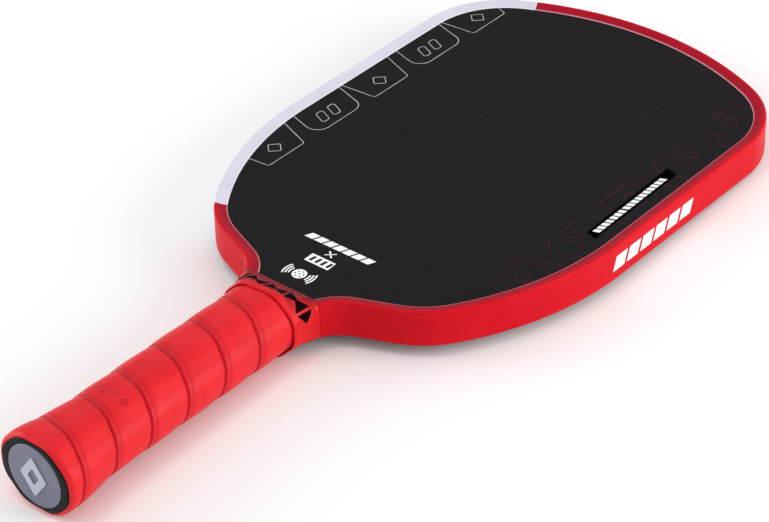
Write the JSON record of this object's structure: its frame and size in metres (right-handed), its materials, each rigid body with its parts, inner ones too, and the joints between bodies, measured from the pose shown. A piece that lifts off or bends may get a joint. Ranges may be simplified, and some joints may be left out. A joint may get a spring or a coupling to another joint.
{
  "type": "pickleball paddle",
  "caption": "Flat-faced paddle with a rounded rectangular head, a raised edge guard, a rubber throat collar and an octagonal handle with a spiral grip wrap and a flared, capped butt.",
  "frame": {"origin": "centre of the bounding box's lowest face, below the middle of the paddle's length", "axes": "+Y along the paddle from the butt towards the head, +Z out of the front hitting face, +X to the right seen from the front with the head up"},
  "size_m": [0.187, 0.4198, 0.0368],
  "materials": {
    "carbon_face": "matte carbon-fibre laminate with a fine peel-ply texture and printed graphics",
    "honeycomb": "translucent natural polypropylene honeycomb",
    "white_foam": "rigid closed-cell foam",
    "guard_red": "satin extruded elastomer, bright red",
    "guard_white": "satin extruded elastomer, cool white",
    "tag_film": "clear polyester inlay film",
    "copper": "thin etched copper",
    "chip_black": "moulded epoxy",
    "pallet_foam": "dense moulded polyurethane foam",
    "cap_black": "injection-moulded nylon, fine texture",
    "badge_grey": "domed grey badge with a metallic tint",
    "emblem_silver": "pale satin silver",
    "steel": "plated staple wire",
    "grip_red": "smooth cushioned polyurethane tape, slightly tacky",
    "tape_black": "vinyl finishing tape",
    "collar_red": "moulded rubber with dark printed triangles"
  },
  "bodies": {
    "root": {"front_face_sheet": "carbon_face", "back_face_sheet": "carbon_face", "honeycomb_core": "honeycomb", "perimeter_foam": "white_foam", "edge_guard_red_left": "guard_red", "edge_guard_white": "guard_white", "edge_guard_red_right": "guard_red", "nfc_film": "tag_film", "nfc_antenna": "copper", "nfc_chip": "chip_black", "handle_core": "white_foam", "handle_pallet_front": "pallet_foam", "handle_pallet_back": "pallet_foam", "butt_cap": "cap_black", "butt_badge": "badge_grey", "badge_emblem": "emblem_silver", "cap_staple_front": "steel", "cap_staple_back": "steel", "grip_wrap": "grip_red", "grip_end_tape": "tape_black", "rubber_collar": "collar_red"}
  },
  "joints": []
}
